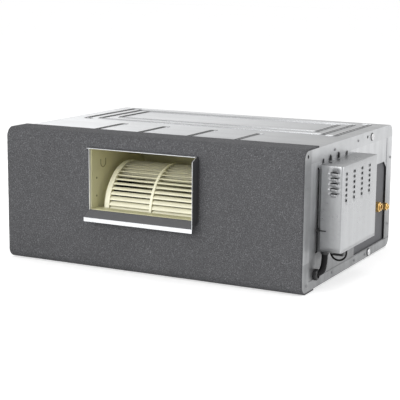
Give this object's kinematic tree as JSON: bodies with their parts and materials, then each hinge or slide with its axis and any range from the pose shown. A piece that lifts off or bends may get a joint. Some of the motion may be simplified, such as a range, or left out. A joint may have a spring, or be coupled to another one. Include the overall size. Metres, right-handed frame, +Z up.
{
  "type": "ducted air conditioner",
  "caption": "Flat ceiling-void air conditioner: blower with outlet collar in a foam-faced metal case, coil, filter and an end control box.",
  "frame": {"origin": "middle of the case, on the plane that its pressed ribs rest on", "axes": "+X to the right end with the control box and pipes, -Y out of the air outlet, +Z up"},
  "size_m": [1.1097, 0.7812, 0.415],
  "materials": {
    "galvanised": "hot-dip zinc with a soft spangle",
    "grey_foam": "closed-cell foam, speckled matt grey",
    "dark_foam": "closed-cell foam tape, matt",
    "scroll_plastic": "moulded cream plastic, satin",
    "wheel_plastic": "moulded cream plastic, satin",
    "dark_plastic": "moulded black plastic",
    "steel": "turned and pressed steel",
    "bright_screws": "bright zinc",
    "rubber": "black sheath or mount rubber",
    "aluminium": "thin rolled sheet",
    "copper": "drawn copper, dull",
    "brass": "machined brass",
    "white_plastic": "moulded white plastic",
    "mesh": "woven nylon screen",
    "board": "solder mask",
    "transformer_steel": "stacked laminations"
  },
  "bodies": {
    "casing": {"top_panel": "galvanised", "base_panel": "galvanised", "front_panel": "galvanised", "left_end_panel": "galvanised", "right_fan_panel": "galvanised", "right_coil_panel": "galvanised", "rear_frame": "galvanised", "outlet_collar": "galvanised", "pipe_panel": "galvanised", "control_tray": "galvanised", "bearing_stand": "galvanised", "motor_cradle": "galvanised", "coil_end_plate_left": "galvanised", "coil_end_plate_right": "galvanised", "filter_rails": "galvanised", "front_foam": "grey_foam", "collar_seal": "dark_foam", "sill_pad": "dark_foam", "pipe_panel_foam": "dark_foam", "scroll_upper": "scroll_plastic", "scroll_lower": "scroll_plastic", "inlet_ring_left": "scroll_plastic", "inlet_ring_right": "scroll_plastic", "cable_block": "dark_plastic", "lead_hook": "dark_plastic", "conduit_bushes": "dark_plastic", "relays": "dark_plastic", "drain_stub": "dark_plastic", "shaft_bearing": "steel", "motor_shell": "steel", "motor_stator": "steel", "hanger_nuts": "steel", "casing_screws": "bright_screws", "scroll_screws": "bright_screws", "motor_rubbers": "rubber", "conduit": "rubber", "loop_lead": "rubber", "side_lead": "rubber", "coil_fins": "aluminium", "run_capacitor": "aluminium", "coil_tubes": "copper", "coil_return_bends": "copper", "gas_header": "copper", "liquid_header": "copper", "gas_fitting": "brass", "liquid_fitting": "brass", "drain_pan": "white_plastic", "terminal_block": "white_plastic", "circuit_board": "board", "transformer": "transformer_steel"},
    "fan": {"fan_wheel": "wheel_plastic", "wheel_hub": "steel", "fan_shaft": "steel", "motor_rotor": "steel"},
    "cover": {"control_cover": "galvanised", "cover_screws": "bright_screws"},
    "filter": {"filter_frame": "dark_plastic", "filter_mesh": "mesh"},
    "gas_nut": {"gas_flare_nut": "brass"},
    "liquid_nut": {"liquid_flare_nut": "brass"}
  },
  "joints": [
    {"name": "fan_spin", "type": "hinge", "parent": "casing", "child": "fan", "pos_m": [-0.015, -0.1895, 0.172], "axis": [1, 0, 0], "continuous": true},
    {"name": "cover_off", "type": "slide", "parent": "casing", "child": "cover", "axis": [1, 0, 0], "range_m": [0, 0.1]},
    {"name": "filter_out", "type": "slide", "parent": "casing", "child": "filter", "axis": [-1, 0, 0], "range_m": [0, 0.85]},
    {"name": "gas_nut_turn", "type": "hinge", "parent": "casing", "child": "gas_nut", "pos_m": [0.51, 0.216, 0.16], "axis": [1, 0, 0], "continuous": true},
    {"name": "liquid_nut_turn", "type": "hinge", "parent": "casing", "child": "liquid_nut", "pos_m": [0.51, 0.3, 0.147], "axis": [1, 0, 0], "continuous": true}
  ]
}
